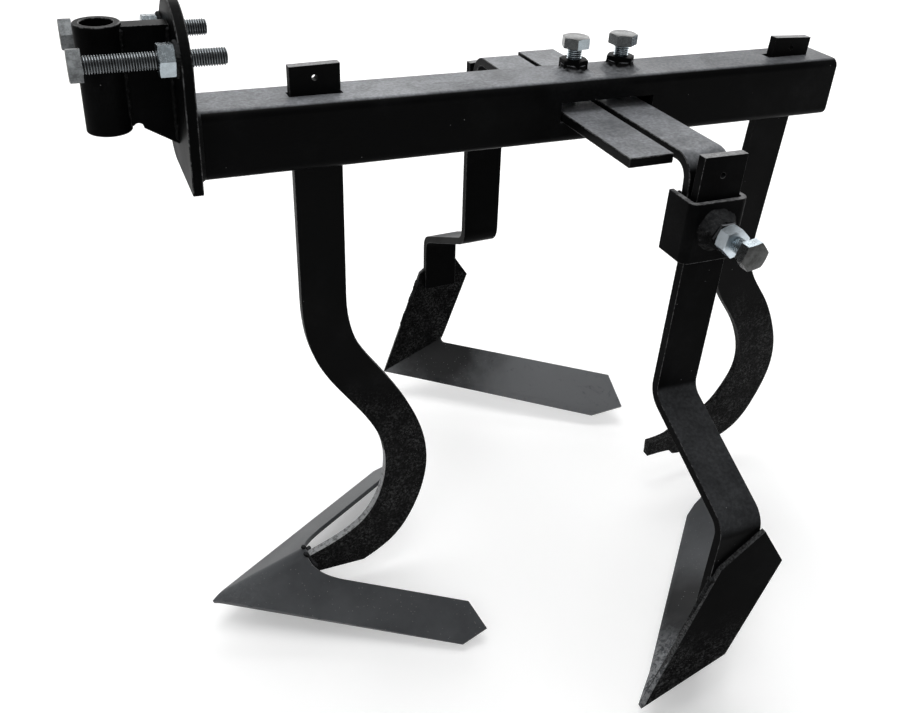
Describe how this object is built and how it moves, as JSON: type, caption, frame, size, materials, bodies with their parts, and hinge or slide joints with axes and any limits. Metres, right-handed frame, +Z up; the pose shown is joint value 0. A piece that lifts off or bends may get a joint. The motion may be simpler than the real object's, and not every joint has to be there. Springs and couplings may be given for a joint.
{
  "type": "tiller weeding plough",
  "caption": "Weeding plough for a walking tiller: square beam with hitch bush, sliding side arms, clamped shanks and folded V-shaped shares",
  "frame": {"origin": "on the axis of the hitch bush, half way up the bush", "axes": "+X rearward along the beam, away from the tiller; +Y to the side of the set bolts; +Z up along the hitch pin"},
  "size_m": [0.7972, 0.6263, 0.67],
  "materials": {
    "black_paint": "satin",
    "tool_steel": "satin",
    "zinc_steel": "satin"
  },
  "bodies": {
    "beam": {"main_beam": "black_paint", "hitch_plate": "black_paint", "hitch_web": "black_paint", "hitch_bush": "black_paint", "hitch_weld": "black_paint", "adjuster_nut_near": "zinc_steel", "adjuster_weld_near": "black_paint", "adjuster_nut_far": "zinc_steel", "adjuster_weld_far": "black_paint", "arm_set_nut_front": "black_paint", "arm_nut_weld_front": "black_paint", "arm_set_bolt_front": "zinc_steel", "arm_set_nut_rear": "black_paint", "arm_nut_weld_rear": "black_paint", "arm_set_bolt_rear": "zinc_steel", "shank_set_nut_front": "black_paint", "shank_nut_weld_front": "black_paint", "shank_set_bolt_front": "zinc_steel", "shank_set_nut_rear": "black_paint", "shank_nut_weld_rear": "black_paint", "shank_set_bolt_rear": "zinc_steel"},
    "adjuster_near": {"adjuster_bolt_near": "zinc_steel"},
    "adjuster_far": {"adjuster_bolt_far": "zinc_steel"},
    "arm_near": {"arm_near": "black_paint", "clamp_strap_near": "black_paint", "clamp_seams_near": "black_paint", "clamp_nut_near": "black_paint", "clamp_nut_weld_near": "black_paint", "clamp_lock_nut_near": "zinc_steel", "clamp_bolt_near": "zinc_steel"},
    "arm_far": {"arm_far": "black_paint", "clamp_strap_far": "black_paint", "clamp_seams_far": "black_paint", "clamp_nut_far": "black_paint", "clamp_nut_weld_far": "black_paint", "clamp_lock_nut_far": "zinc_steel", "clamp_bolt_far": "zinc_steel"},
    "shank_near": {"shank_near": "black_paint", "share_near": "tool_steel"},
    "shank_far": {"shank_far": "black_paint", "share_far": "tool_steel"},
    "shank_front": {"shank_front": "black_paint", "share_front": "tool_steel"},
    "shank_rear": {"shank_rear": "black_paint"}
  },
  "joints": [
    {"name": "adjuster_near_screw", "type": "slide", "parent": "beam", "child": "adjuster_near", "axis": [1, 0, 0], "range_m": [-0.03, 0.05]},
    {"name": "adjuster_far_screw", "type": "slide", "parent": "beam", "child": "adjuster_far", "axis": [1, 0, 0], "range_m": [-0.03, 0.05]},
    {"name": "arm_near_slide", "type": "slide", "parent": "beam", "child": "arm_near", "axis": [0.0181, -0.9998, 0], "range_m": [-0.05, 0.11]},
    {"name": "arm_far_slide", "type": "slide", "parent": "beam", "child": "arm_far", "axis": [-0.0107, 0.9999, 0], "range_m": [-0.05, 0.09]},
    {"name": "shank_near_slide", "type": "slide", "parent": "arm_near", "child": "shank_near", "axis": [0.0095, 0, 1], "range_m": [-0.035, 0.12]},
    {"name": "shank_far_slide", "type": "slide", "parent": "arm_far", "child": "shank_far", "axis": [-0.034, 0, 0.9994], "range_m": [-0.03, 0.12]},
    {"name": "shank_front_slide", "type": "slide", "parent": "beam", "child": "shank_front", "axis": [-0.0231, 0, 0.9997], "range_m": [-0.012, 0.12]},
    {"name": "shank_rear_slide", "type": "slide", "parent": "beam", "child": "shank_rear", "axis": [0.0432, 0, 0.9991], "range_m": [-0.005, 0.1]}
  ]
}
